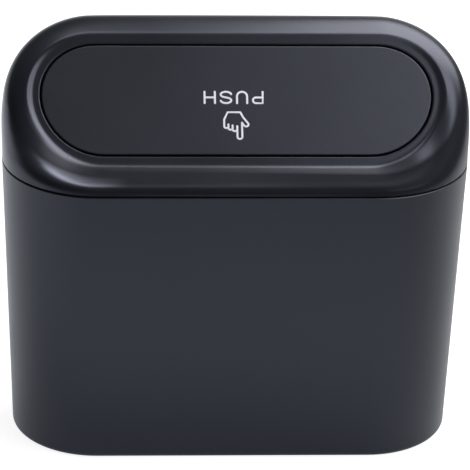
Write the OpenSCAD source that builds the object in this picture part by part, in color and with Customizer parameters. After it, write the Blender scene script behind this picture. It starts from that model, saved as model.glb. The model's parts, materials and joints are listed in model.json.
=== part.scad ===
// Car trash bin: an oblong tapered bucket, a slanted top frame that plugs into it,
// and a push-in flap lid on a sprung hinge pin.
// +Z is up, +X runs along the bin, the low front of the frame faces -Y.
// The origin is the centre of the base, on the surface that the bin stands on.

/* [Bucket] */
// Length of the bin at the joint between bucket and frame
bin_length = 205; // [180:1:230]
// Depth of the bin at the joint, front to back
bin_depth = 84; // [80:1:92]
// Height of the joint above the floor
joint_height = 130.5; // [100:0.5:170]
// How far each wall draws in between the joint and the base
base_inset = 4.3; // [0:0.1:8]
// Thickness of the bucket wall
bucket_wall = 2.2; // [1.6:0.1:3]
// Thickness of the bucket floor
floor_thickness = 2.5; // [1.8:0.1:4]
// Outer radius of the rounded bottom edge
bottom_radius = 2.4; // [1:0.1:5]
// Height of the foot rim under the floor
foot_rim_height = 1.2; // [0.6:0.1:2]
// Width of the foot rim
foot_rim_width = 5; // [3:0.5:10]

/* [Lid] */
// Length of the lid
lid_length = 170.2; // [156:0.2:174]
// Width of the lid, measured along its slope
lid_width = 51; // [46:0.2:53]
// Slope of the lid, rising towards the back
lid_slope = 45; // [36:1:48]
// How much further each end reaches at the back edge than at the middle
lid_end_flare = 2.4; // [0:0.1:3]
// Height of the lid's centre above the joint
lid_rise = 27.6; // [25:0.1:34]
// Distance of the lid's centre behind the middle of the bin
lid_setback = -0.7; // [-4:0.1:4]
// Thickness of the lid plate
lid_thickness = 2.2; // [1.6:0.1:3]
// Depth of the skirt under the lid's edge, measured from the top face
lid_skirt_depth = 3.2; // [2.8:0.1:3.6]
// Thickness of the skirt and of the ribs under the lid
lid_skirt_wall = 1.6; // [1.2:0.1:2]
// Open gap between the lid and the frame
lid_gap = 0.8; // [0.5:0.1:1.5]

/* [Frame] */
// Thickness of the frame wall
frame_wall = 2.2; // [1.6:0.1:2.6]
// Width of the flat ledge round the mouth
ledge_width = 2.6; // [2:0.1:3.4]
// Distance of the raised crest from the lid's edge
crest_offset = 7; // [6:0.1:8]
// Height of the raised crest above the lid's plane, at the front and the ends
crest_height = 1.3; // [0.6:0.1:2]
// How far the crest has sunk below the lid's plane at the back
crest_sink = 0.5; // [0:0.1:1]
// Depth of the wall that hangs round the mouth
mouth_wall_depth = 6; // [5:0.1:6.4]
// Thickness of the wall that hangs round the mouth
mouth_wall = 1.6; // [1.2:0.1:2]
// Depth of the collar that plugs into the bucket
collar_depth = 9; // [6:0.5:14]
// Thickness of the plug-in collar
collar_wall = 1.6; // [1.2:0.1:2.4]
// Gap between the collar and the bucket wall
collar_gap = 0.15; // [0.1:0.05:0.4]
// Height of the shadow line between frame and bucket
shadow_line = 0.7; // [0.4:0.1:1]
// Depth of the shadow line
shadow_depth = 1; // [0.6:0.1:1.2]

/* [Hinge] */
// Diameter of the steel hinge pin
pin_diameter = 3; // [2:0.1:3.4]
// Distance of the pin from the lid's back edge
pin_inset = 7; // [6.6:0.1:9]
// Distance of the pin below the lid's top face
pin_drop = 7; // [7:0.1:8]
// Distance of each frame ear from the middle
ear_spacing = 52; // [40:1:56]
// Thickness of each frame ear
ear_thickness = 3; // [2:0.1:4]
// Thickness of each lid lug
lug_thickness = 3.2; // [2:0.1:4]
// Radius of the rounded end of the ears and lugs
boss_radius = 3.6; // [3:0.1:3.8]
// Gap between parts that pass each other on the pin
side_gap = 0.4; // [0.2:0.1:0.8]
// Radial clearance of the lugs on the pin
running_clearance = 0.06; // [0.02:0.01:0.1]
// Wire diameter of the return springs
spring_wire = 0.9; // [0.6:0.1:1.1]
// Number of turns in each return spring
spring_turns = 4; // [3:1:6]
// Distance of each stop hook from the middle
hook_spacing = 40; // [25:1:52]
// Width of each stop hook
hook_width = 8; // [5:0.5:12]

/* [Hidden] */

charcoal = [0.20, 0.21, 0.24];
steel = [0.75, 0.76, 0.78];

// Smoothness of round forms
ROUND_FACES = 96;
END_STEPS = 26;
OUTER_ROWS = 12;
INNER_ROWS = 7;
FLANK_ROWS = 6;

// The outline at the joint is two half circles joined by straight sides
end_radius = bin_depth / 2;
half_straight = bin_length / 2 - end_radius;
draft = base_inset / joint_height;

// The lid's outline is the same kind of figure, on the slanted plane
lid_radius = lid_width / 2;
lid_half_straight = lid_length / 2 - lid_radius;
flare_rate = lid_end_flare / (lid_length / 2) / lid_radius;
lid_height = joint_height + lid_rise;

// How the shoulder leaves the crest and meets the joint, at front, ends and back
crest_pull = [11.1, 13.3, 27.4];
joint_pull = [5, 15.7, 41];
crest_tilt = [-2.6, 0, 21.7];
shoulder_rise = 3;
edge_round = 0.3;

// Places on the hinge, measured on the slanted plane of the lid
pin_radius = pin_diameter / 2;
pin_along = lid_radius - pin_inset;
lug_place = ear_spacing - ear_thickness / 2 - side_gap - lug_thickness / 2;
spring_start = lug_place - lug_thickness / 2 - side_gap;
coil_radius = pin_radius + 0.65 + spring_wire / 2;
coil_pitch = spring_wire + 0.1;
spring_rest_gap = 0.05;
hook_gap = 0.35;
hook_thickness = 1.6;
bead_radius = 0.9;
bead_length = 24;
bead_drop = 5;
bead_proud = 0.45;

// Value at angle t of a size given at the front, the ends and the back
function by_side(v, t) =
    v[1] + (v[2] - v[0]) / 2 * sin(t) + ((v[0] + v[2]) / 2 - v[1]) * pow(sin(t), 2);

// End and angle of every station round the bin, counter-clockwise from the front right
stations = concat(
    [for (i = [0:END_STEPS]) [1, -90 + 180 * i / END_STEPS]],
    [for (i = [0:END_STEPS]) [-1, 90 + 180 * i / END_STEPS]]
);

// A point of the drafted wall, at the given inset and height
function wall_point(s, inset, z) =
    let (r = end_radius - inset - draft * max(0, joint_height - z))
    [s[0] * half_straight + r * cos(s[1]), r * sin(s[1]), z];

// A point in the lid's plane, offset outwards from the lid's edge
function lid_outline_point(s, offset) =
    let (r = lid_radius + offset, v = r * sin(s[1]))
    [(s[0] * lid_half_straight + r * cos(s[1])) * (1 + flare_rate * v), v];

// From the lid's slanted plane to the bin
function from_lid_plane(x, along, above) = [
    x,
    lid_setback + along * cos(lid_slope) - above * sin(lid_slope),
    lid_height + along * sin(lid_slope) + above * cos(lid_slope)
];

function rim_point(s, offset, above) =
    let (p = lid_outline_point(s, offset))
    from_lid_plane(p[0], p[1], above);

function bezier(a, b, c, d, t) =
    pow(1 - t, 3) * a + 3 * t * pow(1 - t, 2) * b + 3 * t * t * (1 - t) * c + pow(t, 3) * d;

// Direction in which the shoulder leaves the crest
function crest_way(s) =
    let (tilt = by_side(crest_tilt, s[1]))
    [cos(s[1]) * cos(tilt), sin(s[1]) * cos(tilt), sin(tilt)];

// The rounded shoulder at one station, from the joint up to the crest
function shoulder(s, top, foot, shorten, rows) =
    let (
        b = foot + [0, 0, max(1, by_side(joint_pull, s[1]) - shorten)],
        c = top + crest_way(s) * (by_side(crest_pull, s[1]) - shorten)
    )
    [for (i = [0:rows]) bezier(foot, b, c, top, i / rows)];

// The slope between crest and ledge at one station, without its two ends
function flank(s, top, ledge_end, rows) =
    let (
        reach = 0.4 * (crest_offset - ledge_end),
        b = top - crest_way(s) * reach,
        c = rim_point(s, ledge_end + reach, 0)
    )
    [for (i = [1:rows - 1]) bezier(top, b, c, rim_point(s, ledge_end, 0), i / rows)];

function reversed(list) = [for (i = [len(list) - 1:-1:0]) list[i]];

// The closed cross-section of the frame at one station
function frame_section(s) =
    let (
        seat = joint_height - shadow_line / 2,
        reveal = joint_height + shadow_line / 2,
        collar_out = bucket_wall + collar_gap,
        collar_in = collar_out + collar_wall,
        mouth_out = lid_gap + mouth_wall,
        ledge_end = lid_gap + ledge_width,
        lift = by_side([crest_height, crest_height, -crest_sink], s[1]),
        crest = rim_point(s, crest_offset, lift),
        outer = shoulder(s, crest, wall_point(s, 0, reveal + edge_round), 0, OUTER_ROWS),
        inner = shoulder(s, rim_point(s, crest_offset, lift - frame_wall),
            wall_point(s, frame_wall, joint_height + shoulder_rise), frame_wall, INNER_ROWS)
    )
    concat(
        outer,
        flank(s, crest, ledge_end, FLANK_ROWS),
        [
            rim_point(s, ledge_end, 0),
            rim_point(s, lid_gap + edge_round, 0),
            rim_point(s, lid_gap, -edge_round),
            rim_point(s, lid_gap, -mouth_wall_depth),
            rim_point(s, mouth_out, -mouth_wall_depth),
            rim_point(s, mouth_out, -frame_wall),
            rim_point(s, ledge_end, -frame_wall)
        ],
        reversed(inner),
        [
            wall_point(s, collar_in, joint_height + shoulder_rise - collar_in + frame_wall),
            wall_point(s, collar_in, joint_height - collar_depth),
            wall_point(s, collar_out + edge_round, joint_height - collar_depth),
            wall_point(s, collar_out, joint_height - collar_depth + 2 * edge_round),
            wall_point(s, collar_out, seat),
            wall_point(s, shadow_depth, seat),
            wall_point(s, shadow_depth, reveal),
            wall_point(s, edge_round, reveal)
        ]
    );

// A ring of closed sections, skinned into one solid
module ring_of_sections(sections) {
    count = len(sections);
    size = len(sections[0]);
    polyhedron(
        points = [for (section = sections) each section],
        faces = [
            for (i = [0:count - 1], j = [0:size - 1])
                let (
                    a = i * size + j,
                    b = i * size + (j + 1) % size,
                    c = ((i + 1) % count) * size + (j + 1) % size,
                    d = ((i + 1) % count) * size + j
                )
                each [[a, b, c], [a, c, d]]
        ]
    );
}

// Sweeps a half profile round an oblong: a turned form at each end, straight between
module oblong_sweep(straight) {
    for (side = [-1, 1])
        translate([side * straight, 0, 0])
            rotate_extrude($fn = ROUND_FACES)
                children();
    rotate([90, 0, 90])
        translate([0, 0, -straight])
            linear_extrude(2 * straight) {
                children();
                mirror([1, 0])
                    children();
            }
}

// Half profile of the bucket, filled, drawn in by the given inset and rounded at the foot
module bucket_profile(inset, low, high, radius) {
    function reach(z) = end_radius - inset - draft * (joint_height - z);
    corner = [reach(low) - radius, low + radius];
    polygon(concat(
        [[0, high], [0, low]],
        [for (i = [0:6]) corner + radius * [sin(15 * i), -cos(15 * i)]],
        [[reach(high), high - edge_round], [reach(high) - edge_round, high]]
    ));
}

module on_lid_plane() {
    translate([0, lid_setback, lid_height])
        rotate([lid_slope, 0, 0])
            children();
}

// A plate across the hinge: its outline is drawn along and above the lid's plane
module hinge_plate(x, thickness) {
    translate([x - thickness / 2, 0, 0])
        rotate([90, 0, 90])
            linear_extrude(thickness)
                children();
}

module on_pin_axis() {
    translate([0, pin_along, -pin_drop])
        rotate([0, 90, 0])
            children();
}

// Retaining beads along the straight sides of the collar, and the grooves that take them
module beads(extra) {
    z = joint_height - bead_drop;
    y = wall_point([1, 90], bucket_wall + collar_gap, z)[1] + bead_proud - bead_radius;
    for (side = [-1, 1], x = [-1, 1])
        translate([x * half_straight / 2, side * y, z])
            rotate([0, 90, 0])
                cylinder(h = bead_length + 2 * extra, r = bead_radius + extra, center = true, $fn = 32);
}

module bucket() {
    color(charcoal)
        difference() {
            oblong_sweep(half_straight)
                bucket_profile(0, 0, joint_height - shadow_line / 2, bottom_radius);
            oblong_sweep(half_straight)
                bucket_profile(bucket_wall, foot_rim_height + floor_thickness,
                    joint_height + 1, bottom_radius + 1);
            oblong_sweep(half_straight)
                bucket_profile(foot_rim_width, -1, foot_rim_height, edge_round);
            beads(collar_gap);
        }
}

module frame_ear(x) {
    ledge_back = lid_radius + lid_gap + ledge_width;
    inside_mouth_wall = lid_radius + lid_gap + mouth_wall / 2;
    under_skirt = lid_skirt_depth + 0.5;
    difference() {
        hinge_plate(x, ear_thickness) {
            translate([pin_along, -pin_drop])
                circle(boss_radius, $fn = 48);
            polygon([
                [pin_along, -pin_drop - boss_radius],
                [pin_along, -under_skirt],
                [inside_mouth_wall, -under_skirt],
                [inside_mouth_wall, -frame_wall / 2],
                [ledge_back, -frame_wall / 2],
                [ledge_back, -pin_drop + boss_radius / 2]
            ]);
        }
        on_pin_axis()
            translate([0, 0, x])
                cylinder(h = 3 * ear_thickness, r = pin_radius, center = true, $fn = 48);
    }
}

module top_frame() {
    color(charcoal) {
        ring_of_sections([for (s = stations) frame_section(s)]);
        on_lid_plane()
            for (side = [-1, 1])
                frame_ear(side * ear_spacing);
        intersection() {
            beads(0);
            cube([bin_length, bin_depth, 2 * joint_height], center = true);
        }
    }
}

module lid_lug(x) {
    difference() {
        hinge_plate(x, lug_thickness) {
            translate([pin_along, -pin_drop])
                circle(boss_radius, $fn = 48);
            translate([pin_along - boss_radius, -pin_drop])
                square([2 * boss_radius, pin_drop - lid_thickness / 2]);
        }
        on_pin_axis()
            translate([0, 0, x])
                cylinder(h = 3 * lug_thickness, r = pin_radius + running_clearance,
                    center = true, $fn = 48);
    }
}

// Hook that stops the closed lid under the mouth wall
module stop_hook(x) {
    foot_top = mouth_wall_depth + hook_gap;
    foot_low = foot_top + hook_thickness;
    stem_back = -lid_radius + lid_skirt_wall + hook_thickness / 2;
    stem_front = stem_back - hook_thickness;
    hinge_plate(x, hook_width)
        polygon([
            [stem_back, -lid_thickness / 2],
            [stem_front, -lid_thickness / 2],
            [stem_front, -foot_top],
            [-lid_radius - lid_gap - mouth_wall, -foot_top],
            [-lid_radius - lid_gap - mouth_wall, -foot_low + hook_thickness / 2],
            [-lid_radius - lid_gap, -foot_low],
            [stem_back, -foot_low]
        ]);
}

module lid_plate(offset, thickness) {
    translate([0, 0, -thickness])
        linear_extrude(thickness)
            polygon([for (s = stations) lid_outline_point(s, offset)]);
}

module push_lid() {
    rib_place = lid_half_straight / 2;
    color(charcoal)
        on_lid_plane() {
            difference() {
                lid_plate(0, lid_skirt_depth);
                translate([0, 0, -lid_thickness])
                    lid_plate(-lid_skirt_wall, lid_skirt_depth);
            }
            for (x = [-1:1])
                translate([x * rib_place - lid_skirt_wall / 2, -lid_radius + lid_skirt_wall / 2,
                        -lid_skirt_depth])
                    cube([lid_skirt_wall, lid_width - lid_skirt_wall, lid_skirt_depth - lid_thickness / 2]);
            for (side = [-1, 1]) {
                lid_lug(side * lug_place);
                stop_hook(side * hook_spacing);
            }
        }
}

module hinge_pin() {
    pin_end = ear_spacing + ear_thickness / 2 + side_gap;
    color(steel)
        on_lid_plane()
            on_pin_axis()
                rotate_extrude($fn = 48)
                    polygon([
                        [0, -pin_end],
                        [pin_radius - edge_round, -pin_end],
                        [pin_radius, -pin_end + edge_round],
                        [pin_radius, pin_end - edge_round],
                        [pin_radius - edge_round, pin_end],
                        [0, pin_end]
                    ]);
}

// Return spring: a coil on the pin, one leg under the lid and one under the mouth wall
lid_leg_end = [-12, pin_drop - lid_thickness - spring_wire / 2 - spring_rest_gap];
frame_leg_end = [
    pin_inset + lid_gap + mouth_wall,
    pin_drop - mouth_wall_depth - spring_wire - spring_rest_gap
];
lid_leg_angle = atan2(lid_leg_end[1], lid_leg_end[0]) - acos(coil_radius / norm(lid_leg_end));
frame_leg_angle = atan2(frame_leg_end[1], frame_leg_end[0]) + acos(coil_radius / norm(frame_leg_end));
COIL_STEPS = 14;
WIRE_SIDES = 6;

// Route of the wire across the hinge: place along the pin, then the two cross directions
function coil_route(side) =
    let (
        turn = lid_leg_angle + 360 * spring_turns - frame_leg_angle,
        steps = spring_turns * COIL_STEPS,
        far_end = side * (spring_start - coil_pitch * turn / 360 - spring_wire / 2),
        near_end = side * (spring_start - spring_wire / 2)
    )
    concat(
        [[near_end, frame_leg_end[0], frame_leg_end[1]]],
        [for (i = [0:steps])
            let (angle = frame_leg_angle + turn * i / steps)
            [near_end + (far_end - near_end) * i / steps,
                coil_radius * cos(angle), coil_radius * sin(angle)]],
        [[far_end, lid_leg_end[0], lid_leg_end[1]]]
    );

function unit(v) = v / norm(v);

// Ring of points round the wire at one point of its route
function wire_ring(route, i) =
    let (
        last = len(route) - 1,
        ahead = unit(route[min(last, i + 1)] - route[max(0, i - 1)]),
        across = unit([1, 0, 0] - ahead * ahead[0]),
        up = cross(ahead, across)
    )
    [for (k = [0:WIRE_SIDES - 1])
        route[i] + spring_wire / 2 * (cos(360 * k / WIRE_SIDES) * across
            + sin(360 * k / WIRE_SIDES) * up)];

module swept_wire(route) {
    last = len(route) - 1;
    polyhedron(
        points = [for (i = [0:last]) each wire_ring(route, i)],
        faces = concat(
            [[for (k = [0:WIRE_SIDES - 1]) k]],
            [[for (k = [WIRE_SIDES - 1:-1:0]) last * WIRE_SIDES + k]],
            [
                for (i = [0:last - 1], k = [0:WIRE_SIDES - 1])
                    let (
                        a = i * WIRE_SIDES + k,
                        b = i * WIRE_SIDES + (k + 1) % WIRE_SIDES
                    )
                    each [[a, a + WIRE_SIDES, b], [b, a + WIRE_SIDES, b + WIRE_SIDES]]
            ]
        )
    );
}

module return_spring(side) {
    color(steel)
        on_lid_plane()
            translate([0, pin_along, -pin_drop])
                swept_wire(coil_route(side));
}

bucket();
top_frame();
push_lid();
hinge_pin();
return_spring(-1);  // spring_left
return_spring(1);  // spring_right
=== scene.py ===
# Car trash bin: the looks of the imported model, as the photograph shows it
import json
import math

import bpy
from mathutils import Matrix, Vector

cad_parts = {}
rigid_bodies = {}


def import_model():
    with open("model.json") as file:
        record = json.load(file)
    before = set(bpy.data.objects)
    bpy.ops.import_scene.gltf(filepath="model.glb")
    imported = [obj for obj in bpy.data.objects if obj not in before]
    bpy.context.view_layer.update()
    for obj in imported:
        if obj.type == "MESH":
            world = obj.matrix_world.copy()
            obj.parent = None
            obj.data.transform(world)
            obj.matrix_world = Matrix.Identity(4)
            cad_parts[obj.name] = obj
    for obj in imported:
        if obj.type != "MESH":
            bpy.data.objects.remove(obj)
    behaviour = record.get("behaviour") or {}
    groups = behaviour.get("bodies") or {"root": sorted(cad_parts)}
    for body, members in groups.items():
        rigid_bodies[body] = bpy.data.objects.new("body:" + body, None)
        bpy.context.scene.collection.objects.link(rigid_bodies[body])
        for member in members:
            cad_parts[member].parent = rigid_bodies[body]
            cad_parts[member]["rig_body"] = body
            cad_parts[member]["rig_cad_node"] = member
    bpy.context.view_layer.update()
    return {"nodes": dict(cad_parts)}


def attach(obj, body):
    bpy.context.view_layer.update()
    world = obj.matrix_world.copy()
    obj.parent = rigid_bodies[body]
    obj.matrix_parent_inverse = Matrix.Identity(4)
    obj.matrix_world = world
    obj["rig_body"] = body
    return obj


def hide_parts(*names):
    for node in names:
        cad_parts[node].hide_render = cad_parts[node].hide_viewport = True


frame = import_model()

MM = 0.001

# The lid's slanted plane, as in the part
LID_SLOPE = math.radians(45)
LID_CENTRE = Vector((0, -0.7 * MM, 158.1 * MM))
ALONG_LID = Vector((0, math.cos(LID_SLOPE), math.sin(LID_SLOPE)))
ABOVE_LID = Vector((0, -math.sin(LID_SLOPE), math.cos(LID_SLOPE)))

# The photograph's camera
CAMERA_AIM = Vector((0.8 * MM, 0, 92.2 * MM))
CAMERA_ELEVATION = math.radians(26.04)
CAMERA_AZIMUTH = math.radians(-3.63)
CAMERA_ROLL = math.radians(1.6)
CAMERA_DISTANCE = 1507.2 * MM
FOCAL_PIXELS = 3387
PHOTO_PIXELS = 470
SENSOR_MM = 36
CAMERA_SEES = (0.05, 20)

# Meshes: what counts as one point, as one plane and as a crisp edge, and the finish of the edges
MERGE_DISTANCE = 0.004 * MM
PLANE_TOLERANCE = 0.02 * MM
SAME_WAY = 0.9999
FLAT_ANGLE = 0.5
QUAD_ANGLE = 40
CREASE_ANGLE = 32
CREASE = 0.9
SKIN_LEVELS = 2
SMOOTH_ANGLE = 40
PANEL_SMOOTH_ANGLE = 30
LID_RIM = 0.5 * MM
LID_RIM_STRIP = 0.15 * MM
LID_EDGES = 0.3 * MM
EASED_ANGLE = 40

# Colours, each a darker and a lighter tone
CHARCOAL = ((0.011, 0.012, 0.016), (0.014, 0.015, 0.020))
LID_CHARCOAL = ((0.012, 0.013, 0.017), (0.015, 0.016, 0.021))
STEEL = ((0.46, 0.46, 0.48), (0.62, 0.62, 0.64))
PALE_INK = ((0.78, 0.80, 0.87), (0.87, 0.89, 0.94))
REFLECTION_TINT = (0.77, 0.81, 1.0, 1)

# The plastics: scales of the uneven patches and of the moulding's waves, and how far they go
PATCH_SCALE = 22
PATCH_ROUGHNESS = 0.02
WAVE_SCALE = 60
WAVE_DEPTH = 0.06 * MM
WAVE_STRENGTH = 0.15
GRAIN_STRENGTH = 0.6

# The steel: its drawing lines, stretched along the bin, and its roughness
STEEL_STRETCH = (0.05, 1, 1)
STEEL_LINES = 2600
STEEL_ROUGHNESS = 0.28
STEEL_LINE_ROUGHNESS = 0.06

# The ink
INK_GRAIN = 900
INK_ROUGHNESS = 0.55

# Where a noise has most of its values
NOISE_SPAN = (0.3, 0.7)

# The frame's painted shade and painted highlight, set in its gloss and measured square to the
# lid's plane. Each pair is where a soft change starts and ends: out from the mouth's middle line,
# along the slope, or across the bin
MOUTH_STRAIGHT = 59.6 * MM
SHOULDER_START = (33 * MM, 36 * MM)
SHOULDER_HEIGHT = (-5 * MM, 25 * MM)
SHOULDER_LEAN = 0.017
SHOULDER_SHADE_RUN = (-20 * MM, 40 * MM)
SHOULDER_PAINTED_SHADE = (-0.4, -0.48)
LEFT_DELAY = 1.4 * MM
LEFT_DELAY_ACROSS = (-66 * MM, -50 * MM)
LEFT_DELAY_ALONG = (-18 * MM, -6 * MM)
WALL_TO_SHOULDER = (0.3, 0.7)
PATCH_INNER = (37.5 * MM, 42 * MM)
PATCH_OUTER = (41.5 * MM, 47 * MM)
PATCH_LEFT = (-94 * MM, -82 * MM)
PATCH_RIGHT = (-72 * MM, -46 * MM)
PATCH_LEFT_SHARE = 0.3
PAINTED_HIGHLIGHT_LEVEL = 2.1
PLAIN_GLOSS = 0.5

# The room: its own light, and the backdrop by direction
ROOM_LIGHT = 0.10
BACKDROP = 0.95
BACKDROP_TOP = (0.22, 0.40)
BACKDROP_BEHIND = (-0.15, 0.35)
BACKDROP_RIGHT = (0.3, 0.8)

# The table: its glow to the camera, and its painted reflection in the bin, set by place in metres
TABLE_SIZE = 8
TABLE_GLOW = 0.88
MIRRORED_TINT = (0.89, 0.94, 1.0)
SLANT_BACK = 0.8
SLANT_RIGHT = 0.7
SLANT_SPAN = (-0.7, 0.7)
SLANT_PAINTED_GLOW = 1.15
FRONT_PAINTED_GLOW = 0.42
FRONT_NEAR = (-0.15, -0.05)
FRONT_FAR = (-0.40, -0.15)
FRONT_FAR_SHARE = 0.5
FRONT_RIGHT = (0.08, 0.30)
DARK_RIGHT = (0.03, 0.09)
DARK_BACK = (0.17, 0.27)

# The lamps' height over the table
LAMP_HEIGHT = 0.77

# The print: how flat its round strokes are pressed, and the rounding of a stroke's end as steps
# outwards and widths there, both as shares of half its width
PRINT_FLATNESS = 0.06
ROUND_END = ((0.5, 0.87), (0.87, 0.5), (1, 0.1))


def make_camera():
    data = bpy.data.cameras.new("camera")
    camera = bpy.data.objects.new("camera", data)
    bpy.context.collection.objects.link(camera)
    back = Vector((
        math.sin(CAMERA_AZIMUTH) * math.cos(CAMERA_ELEVATION),
        -math.cos(CAMERA_AZIMUTH) * math.cos(CAMERA_ELEVATION),
        math.sin(CAMERA_ELEVATION),
    ))
    turn = (-back).to_track_quat("-Z", "Y").to_matrix().to_4x4()
    place = Matrix.Translation(CAMERA_AIM + back * CAMERA_DISTANCE)
    camera.matrix_world = place @ turn @ Matrix.Rotation(CAMERA_ROLL, 4, "Z")
    data.sensor_width = SENSOR_MM
    data.lens = SENSOR_MM * FOCAL_PIXELS / PHOTO_PIXELS
    data.clip_start, data.clip_end = CAMERA_SEES
    bpy.context.scene.camera = camera


def deselect():
    if bpy.context.object and bpy.context.object.mode != "OBJECT":
        bpy.ops.object.mode_set(mode="OBJECT")
    bpy.ops.object.select_all(action="DESELECT")


def activate(piece):
    deselect()
    piece.select_set(True)
    bpy.context.view_layer.objects.active = piece


def on_lid(across, along):
    """A point of the lid's slanted plane, in the bin's frame."""
    return LID_CENTRE + Vector((across, 0, 0)) + ALONG_LID * along


def in_lid_plane(point):
    return abs((point - LID_CENTRE).dot(ABOVE_LID)) < PLANE_TOLERANCE


# Materials


class Nodes:
    """A node tree with short ways to add its nodes, join them and reckon with them."""

    def __init__(self, tree):
        self.tree = tree

    def add(self, kind, **values):
        """A new node; each value goes to its setting of that name, or else to its socket."""
        node = self.tree.nodes.new(kind)
        for key, value in values.items():
            if hasattr(node, key):
                setattr(node, key, value)
            else:
                node.inputs[key.replace("_", " ")].default_value = value
        return node

    def join(self, source, target):
        self.tree.links.new(source, target)

    def reckon(self, operation, *terms):
        node = self.add("ShaderNodeMath", operation=operation)
        for socket, term in zip(node.inputs, terms):
            if isinstance(term, (int, float)):
                socket.default_value = term
            else:
                self.join(term, socket)
        return node.outputs[0]

    def plus(self, first, second):
        return self.reckon("ADD", first, second)

    def minus(self, first, second):
        return self.reckon("SUBTRACT", first, second)

    def times(self, first, *others):
        for term in others:
            first = self.reckon("MULTIPLY", first, term)
        return first

    def ramp(self, source, span, low, high, kind="SMOOTHSTEP"):
        """A change from one value to another while the source passes through the span."""
        start, end = span
        node = self.add("ShaderNodeMapRange", interpolation_type=kind,
                        From_Min=start, From_Max=end, To_Min=low, To_Max=high)
        self.join(source, node.inputs["Value"])
        return node.outputs["Result"]

    def parts(self, source):
        """The X, Y and Z of a vector."""
        node = self.add("ShaderNodeSeparateXYZ")
        self.join(source, node.inputs["Vector"])
        return node.outputs

    def rays(self):
        """What the camera sees straight, and what it sees mirrored."""
        path = self.add("ShaderNodeLightPath").outputs
        straight = self.reckon("MAXIMUM", path["Is Camera Ray"], path["Is Transmission Ray"])
        return straight, path["Is Glossy Ray"]


class Shader(Nodes):
    """A Principled material; its patterns follow the object's own coordinates."""

    def __init__(self, name):
        self.material = bpy.data.materials.new(name)
        self.material.use_nodes = True
        super().__init__(self.material.node_tree)
        self.surface = self.tree.nodes["Principled BSDF"]
        coordinates = self.add("ShaderNodeTexCoord").outputs
        self.place = coordinates["Object"]
        self.facing = coordinates["Normal"]

    def set(self, **values):
        """Give the surface's sockets a plain value, or join what reckons it."""
        for key, value in values.items():
            socket = self.surface.inputs[key.replace("_", " ")]
            if isinstance(value, bpy.types.NodeSocket):
                self.join(value, socket)
            else:
                socket.default_value = value

    def noise(self, scale, detail, roughness=0.5, place=None):
        node = self.add("ShaderNodeTexNoise", Scale=scale, Detail=detail, Roughness=roughness)
        self.join(place or self.place, node.inputs["Vector"])
        return node.outputs["Fac"]

    def spread(self, source, middle, reach):
        """A noise turned into values on both sides of a middle one."""
        return self.ramp(source, NOISE_SPAN, middle - reach, middle + reach, kind="LINEAR")

    def tint(self, source, colours, span=NOISE_SPAN):
        node = self.add("ShaderNodeValToRGB")
        for element, position, colour in zip(node.color_ramp.elements, span, colours):
            element.position = position
            element.color = (*colour, 1)
        self.join(source, node.inputs["Fac"])
        return node.outputs["Color"]

    def bump(self, source, depth, strength, below=None):
        node = self.add("ShaderNodeBump", Strength=strength, Distance=depth)
        self.join(source, node.inputs["Height"])
        if below is not None:
            self.join(below, node.inputs["Normal"])
        return node.outputs["Normal"]


def moulded_plastic(name, colours, roughness, grain_scale, grain_depth):
    """Dyed polypropylene: a fine spark-eroded grain, slightly uneven in colour and gloss."""
    shader = Shader(name)
    patches = shader.noise(PATCH_SCALE, detail=3)
    waves = shader.bump(shader.noise(WAVE_SCALE, detail=1), WAVE_DEPTH, WAVE_STRENGTH)
    grain = shader.noise(grain_scale, detail=4, roughness=0.62)
    shader.set(
        Base_Color=shader.tint(patches, colours),
        Roughness=shader.spread(patches, roughness, PATCH_ROUGHNESS),
        Normal=shader.bump(grain, grain_depth, GRAIN_STRENGTH, below=waves),
        Specular_IOR_Level=PLAIN_GLOSS,
        Specular_Tint=REFLECTION_TINT,
    )
    return shader


def paint_shoulder_highlights(shader):
    """Painted shade on the shoulder past the crest, and a painted highlight at its left end."""
    on_slope = shader.add("ShaderNodeMapping", vector_type="TEXTURE",
                          Location=LID_CENTRE, Rotation=(LID_SLOPE, 0, 0))
    shader.join(shader.place, on_slope.inputs["Vector"])
    across, along, _ = shader.parts(on_slope.outputs["Vector"])
    _, _, upwards = shader.parts(shader.facing)

    past_straight = shader.minus(shader.reckon("ABSOLUTE", across), MOUTH_STRAIGHT)
    beyond = shader.reckon("MAXIMUM", past_straight, 0.0)
    reach = shader.reckon("SQRT", shader.plus(shader.times(beyond, beyond),
                                              shader.times(along, along)))
    lower = shader.ramp(along, SHOULDER_HEIGHT, 1.0, 0.0)

    delay = shader.times(shader.ramp(across, LEFT_DELAY_ACROSS, LEFT_DELAY, 0.0),
                         shader.ramp(along, LEFT_DELAY_ALONG, 1.0, 0.0))
    leaning = shader.plus(shader.minus(reach, shader.times(across, SHOULDER_LEAN)), delay)
    # Painted shade: less reflection on the upward-facing shoulder past the crest, at the front and
    # ends
    shoulder = shader.times(
        shader.ramp(leaning, SHOULDER_START, 0.0, 1.0),
        lower,
        shader.ramp(upwards, WALL_TO_SHOULDER, 0.0, 1.0),
    )
    painted_shade = shader.ramp(across, SHOULDER_SHADE_RUN, *SHOULDER_PAINTED_SHADE)

    # Painted highlight: more reflection on a band of the shoulder, mostly at its left end
    painted_highlight = shader.times(
        shader.ramp(reach, PATCH_INNER, 0.0, 1.0),
        shader.ramp(reach, PATCH_OUTER, 1.0, 0.0),
        shader.ramp(across, PATCH_LEFT, PATCH_LEFT_SHARE, 1.0),
        shader.ramp(across, PATCH_RIGHT, 1.0, 0.0),
        lower,
    )
    level = shader.plus(PLAIN_GLOSS, shader.times(shoulder, painted_shade))
    shader.set(Specular_IOR_Level=shader.plus(level, shader.times(painted_highlight, PAINTED_HIGHLIGHT_LEVEL)))
    return shader


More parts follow.
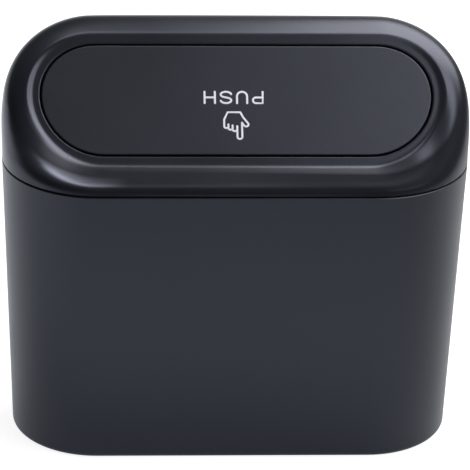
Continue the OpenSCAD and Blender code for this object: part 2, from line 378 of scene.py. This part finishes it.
def drawn_steel(name):
    """Plain bright steel with fine drawing lines along the bin."""
    shader = Shader(name)
    stretch = shader.add("ShaderNodeMapping", Scale=STEEL_STRETCH)
    shader.join(shader.place, stretch.inputs["Vector"])
    lines = shader.noise(STEEL_LINES, detail=2, place=stretch.outputs["Vector"])
    shader.set(
        Base_Color=shader.tint(lines, STEEL),
        Roughness=shader.spread(lines, STEEL_ROUGHNESS, STEEL_LINE_ROUGHNESS),
        Metallic=1.0,
    )
    return shader


def pale_print(name):
    """Pad-printed ink, thin and slightly uneven over the grain."""
    shader = Shader(name)
    cover = shader.noise(INK_GRAIN, detail=3)
    shader.set(Base_Color=shader.tint(cover, PALE_INK), Roughness=INK_ROUGHNESS)
    return shader


# The studio


def light_box(name, place, width, depth, power, turn=0):
    """A soft box that hangs level over the table and shines straight down."""
    deselect()
    bpy.ops.object.light_add(type="AREA", location=(*place, LAMP_HEIGHT),
                             rotation=(0, 0, math.radians(turn)))
    lamp = bpy.context.object
    lamp.name = name
    lamp.data.shape = "RECTANGLE"
    lamp.data.size = width
    lamp.data.size_y = depth
    lamp.data.energy = power


def make_room():
    """A dim room with a pale low backdrop behind the bin; plain where the camera looks past it."""
    world = bpy.data.worlds.new("studio")
    bpy.context.scene.world = world
    world.use_nodes = True
    nodes = Nodes(world.node_tree)
    x, y, z = nodes.parts(nodes.add("ShaderNodeTexCoord").outputs["Generated"])
    backdrop = nodes.times(
        nodes.ramp(z, BACKDROP_TOP, 1.0, 0.0),
        nodes.ramp(y, BACKDROP_BEHIND, 0.0, BACKDROP),
        nodes.ramp(x, BACKDROP_RIGHT, 1.0, 0.0),
    )
    room = nodes.tree.nodes["Background"]
    room.inputs["Color"].default_value = (1, 1, 1, 1)
    nodes.join(nodes.plus(backdrop, ROOM_LIGHT), room.inputs["Strength"])
    plain = nodes.add("ShaderNodeBackground")
    both = nodes.add("ShaderNodeMixShader")
    straight, _ = nodes.rays()
    nodes.join(straight, both.inputs["Fac"])
    nodes.join(room.outputs["Background"], both.inputs[1])
    nodes.join(plain.outputs["Background"], both.inputs[2])
    nodes.join(both.outputs["Shader"], nodes.tree.nodes["World Output"].inputs["Surface"])


def make_floor():
    """A pale table: white with a faint shadow to the camera, an uneven painted reflection in the
    bin.
    """
    deselect()
    bpy.ops.mesh.primitive_plane_add(size=TABLE_SIZE, location=(0, 0, 0))
    floor = bpy.context.object
    floor.name = "floor"
    shader = Shader("pale_floor")
    x, y, _ = shader.parts(shader.place)

    # Painted reflection: a glow only mirrored rays see, brighter to the back and left, dark at the
    # back right, with a band in front towards the left
    slant = shader.minus(shader.times(y, SLANT_BACK), shader.times(x, SLANT_RIGHT))
    painted_glow_outside_corner = shader.reckon("MAXIMUM", shader.ramp(x, DARK_RIGHT, 1.0, 0.0),
                        shader.ramp(y, DARK_BACK, 1.0, 0.0))
    front = shader.times(
        shader.ramp(y, FRONT_NEAR, FRONT_PAINTED_GLOW, 0.0),
        shader.ramp(y, FRONT_FAR, FRONT_FAR_SHARE, 1.0),
        shader.ramp(x, FRONT_RIGHT, 1.0, 0.0),
    )
    back = shader.times(shader.ramp(slant, SLANT_SPAN, 0.0, SLANT_PAINTED_GLOW), painted_glow_outside_corner)
    straight, mirrored = shader.rays()
    shader.set(
        Emission_Strength=shader.plus(shader.times(straight, TABLE_GLOW),
                                      shader.times(mirrored, shader.plus(back, front))),
        Emission_Color=shader.tint(mirrored, ((1, 1, 1), MIRRORED_TINT), (0.0, 1.0)),
        Base_Color=(0.4, 0.4, 0.4, 1),
        Roughness=1.0,
        Specular_IOR_Level=0.0,
    )
    floor.data.materials.append(shader.material)


# Pieces


def merged_copy(node, name):
    """A copy of a CAD piece with its own mesh, its loose triangles joined, on no body yet."""
    source = frame["nodes"][node]
    activate(source)
    bpy.ops.object.duplicate()
    piece = bpy.context.object
    piece.name = name
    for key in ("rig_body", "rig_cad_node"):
        del piece[key]
    piece.parent = None
    bpy.ops.object.mode_set(mode="EDIT")
    bpy.ops.mesh.customdata_custom_splitnormals_clear()
    bpy.ops.mesh.select_all(action="SELECT")
    bpy.ops.mesh.remove_doubles(threshold=MERGE_DISTANCE)
    bpy.ops.object.mode_set(mode="OBJECT")
    return piece


def apply_all(piece):
    activate(piece)
    for modifier in list(piece.modifiers):
        bpy.ops.object.modifier_apply(modifier=modifier.name)


def soften_edges(piece, width):
    bevel = piece.modifiers.new("soft edges", "BEVEL")
    bevel.width = width
    bevel.segments = 2
    bevel.limit_method = "ANGLE"
    bevel.angle_limit = math.radians(EASED_ANGLE)
    bevel.harden_normals = True


def smooth_shell(node, name):
    """A curved shell: quads, its crisp edges kept, and the rest subdivided smooth."""
    piece = merged_copy(node, name)
    bpy.ops.object.mode_set(mode="EDIT")
    bpy.ops.mesh.select_all(action="SELECT")
    bpy.ops.mesh.tris_convert_to_quads(face_threshold=math.radians(QUAD_ANGLE),
                                       shape_threshold=math.radians(180))
    bpy.ops.mesh.select_all(action="DESELECT")
    bpy.ops.mesh.edges_select_sharp(sharpness=math.radians(CREASE_ANGLE))
    bpy.ops.transform.edge_crease(value=CREASE)
    bpy.ops.object.mode_set(mode="OBJECT")
    skin = piece.modifiers.new("skin", "SUBSURF")
    skin.levels = skin.render_levels = SKIN_LEVELS
    apply_all(piece)
    bpy.ops.object.shade_smooth_by_angle(angle=math.radians(SMOOTH_ANGLE))
    return piece


def flat_panel(node, name):
    """The flat lid: coplanar faces joined, its top rim rounded and its other edges eased.

    A narrow strip inside the rim keeps the large face's shading flat.
    """
    piece = merged_copy(node, name)
    mesh = piece.data
    bpy.ops.object.mode_set(mode="EDIT")
    bpy.ops.mesh.select_all(action="SELECT")
    bpy.ops.mesh.dissolve_limited(angle_limit=math.radians(FLAT_ANGLE))
    bpy.ops.mesh.select_mode(type="EDGE")
    bpy.ops.mesh.select_all(action="DESELECT")
    bpy.ops.object.mode_set(mode="OBJECT")
    top = {vertex.index for vertex in mesh.vertices if in_lid_plane(vertex.co)}
    for edge in mesh.edges:
        edge.select = top.issuperset(edge.vertices)
    bpy.ops.object.mode_set(mode="EDIT")
    bpy.ops.mesh.bevel(offset=LID_RIM, segments=3, clamp_overlap=False)
    bpy.ops.mesh.select_mode(type="FACE")
    bpy.ops.mesh.select_all(action="DESELECT")
    bpy.ops.object.mode_set(mode="OBJECT")
    for face in mesh.polygons:
        face.select = face.normal.dot(ABOVE_LID) > SAME_WAY and in_lid_plane(face.center)
    bpy.ops.object.mode_set(mode="EDIT")
    bpy.ops.mesh.inset(thickness=LID_RIM_STRIP)
    bpy.ops.object.mode_set(mode="OBJECT")
    soften_edges(piece, LID_EDGES)
    apply_all(piece)
    bpy.ops.object.shade_smooth_by_angle(angle=math.radians(PANEL_SMOOTH_ANGLE))
    return piece


def dress(piece, finish, slot, body, *nodes):
    piece.data.materials.clear()
    piece.data.materials.append(finish)
    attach(piece, body)
    if nodes:
        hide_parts(*nodes)


# The printed word and sign on the lid, in millimetres on the lid's plane


def arc(centre, radius, start, end, steps=8, squash=1.0):
    """Points along a bend; angles in degrees, counter-clockwise from +X."""
    turns = [math.radians(start + (end - start) * step / steps) for step in range(steps + 1)]
    x, y = centre
    return [(x + radius * math.cos(turn), y + radius * squash * math.sin(turn)) for turn in turns]


def word_strokes():
    """The word on its own level line, read from left to right: P, U, S, H."""
    half = 2.65
    return [
        [(-12.7, -half), (-12.7, half), *arc((-9.75, 1.32), 1.33, 90, -90), (-12.7, -0.01)],
        [(-5.9, half), *arc((-3.68, -0.5), 2.22, 180, 360, 10, 0.97), (-1.46, half)],
        [*arc((3.35, 1.36), 2.3, 8, 236, 14, 0.56), *arc((3.35, -1.36), 2.3, 56, -172, 14, 0.56)],
        [(8.2, -half), (8.2, half)],
        [(12.7, -half), (12.7, half)],
        [(8.2, 0), (12.7, 0)],
    ]


def hand_strokes():
    """A plain pointing hand, its finger towards -Y and its cuff on the X axis."""
    return [
        [
            (2.7, 0), (-2.8, 0), (-4.38, -3.4), (-4.38, -6.4),
            *arc((-3.55, -6.5), 0.85, 180, 300, 5), (-2.56, -6.95),
            *arc((-1.72, -7.3), 0.85, 195, 300, 5), (-0.75, -7.75),
            *arc((0.1, -7.95), 0.85, 195, 295, 5), (1.28, -8.5),
        ],
        [(-2.56, -5.7), (-2.56, -6.95)],
        [(-0.75, -6.15), (-0.75, -7.75)],
        [(1.28, -6.5), *arc((2.36, -11.35), 1.08, 180, 360), (3.36, -4.85)],
        [
            (3.36, -4.85), (4.2, -6.1),
            *arc((5.2, -5.68), 0.98, 215, 395, 6), (3.95, -2.4), (2.7, 0),
        ],
    ]


def stroke_route(stroke, width):
    """A stroke's points and the share of its width at each, with a rounded start and end."""
    points = [Vector((x, y, 0)) for x, y in stroke]
    first = (points[0] - points[1]).normalized() * width / 2
    last = (points[-1] - points[-2]).normalized() * width / 2
    start = [(points[0] + first * out, size) for out, size in reversed(ROUND_END)]
    end = [(points[-1] + last * out, size) for out, size in ROUND_END]
    return start + [(point, 1) for point in points] + end


def print_strokes(name, strokes, turn, place, width, finish):
    """Thin pad print: each stroke a round line pressed flat and laid on the lid."""
    data = bpy.data.curves.new(name, "CURVE")
    data.dimensions = "3D"
    data.bevel_depth = width / 2 * MM
    data.bevel_resolution = 2
    data.use_fill_caps = True
    for stroke in strokes:
        route = stroke_route(stroke, width)
        spline = data.splines.new("POLY")
        spline.points.add(len(route) - 1)
        for point, (spot, size) in zip(spline.points, route):
            point.co = (*(spot * MM), 1)
            point.radius = size
    piece = bpy.data.objects.new(name, data)
    bpy.context.collection.objects.link(piece)
    activate(piece)
    bpy.ops.object.convert(target="MESH")
    piece = bpy.context.object
    piece.matrix_world = (
        Matrix.Translation(on_lid(place[0] * MM, place[1] * MM))
        @ Matrix.Rotation(LID_SLOPE, 4, "X")
        @ Matrix.Rotation(math.radians(turn), 4, "Z")
        @ Matrix.Diagonal((1, 1, PRINT_FLATNESS, 1))
    )
    bpy.ops.object.transform_apply(location=True, rotation=True, scale=True)
    bpy.ops.object.shade_smooth_by_angle(angle=math.radians(SMOOTH_ANGLE))
    dress(piece, finish, "lid_plastic", "lid")


make_camera()
make_room()
make_floor()

bucket_finish = moulded_plastic(
    "bucket_plastic", CHARCOAL, roughness=0.36, grain_scale=1300, grain_depth=0.04 * MM).material
# The frame's plastic carries the painted shade and the painted highlight on its shoulder
frame_finish = paint_shoulder_highlights(moulded_plastic(
    "frame_plastic", CHARCOAL, roughness=0.30, grain_scale=1800, grain_depth=0.01 * MM)).material
lid_finish = moulded_plastic(
    "lid_plastic", LID_CHARCOAL, roughness=0.42, grain_scale=1300, grain_depth=0.07 * MM).material
bright = drawn_steel("pin_steel").material
ink = pale_print("pale_print").material

for node, finish in (
    ("bucket", bucket_finish),
    ("hinge_pin", bright),
    ("spring_left", bright),
    ("spring_right", bright),
):
    slots = frame["nodes"][node].data.materials
    slots.clear()
    slots.append(finish)

shell = smooth_shell("top_frame", "slanted_frame")
dress(shell, frame_finish, "frame_plastic", "housing", "top_frame")
flap = flat_panel("push_lid", "flap_lid")
dress(flap, lid_finish, "lid_plastic", "lid", "push_lid")
print_strokes("push_word", word_strokes(), turn=180, place=(-1.48, 1.2), width=0.9, finish=ink)
print_strokes("pointing_hand", hand_strokes(), turn=0, place=(-1.42, -5.7), width=0.88, finish=ink)

light_box("overhead_box", (0.498, 0.325), width=0.85, depth=0.6, power=10.4, turn=-12)
light_box("left_box", (-0.12, 0.19), width=0.16, depth=0.24, power=0.5)
light_box("front_box", (0.48, -0.31), width=0.56, depth=0.56, power=4.6)

bpy.context.scene.view_settings.view_transform = "Standard"
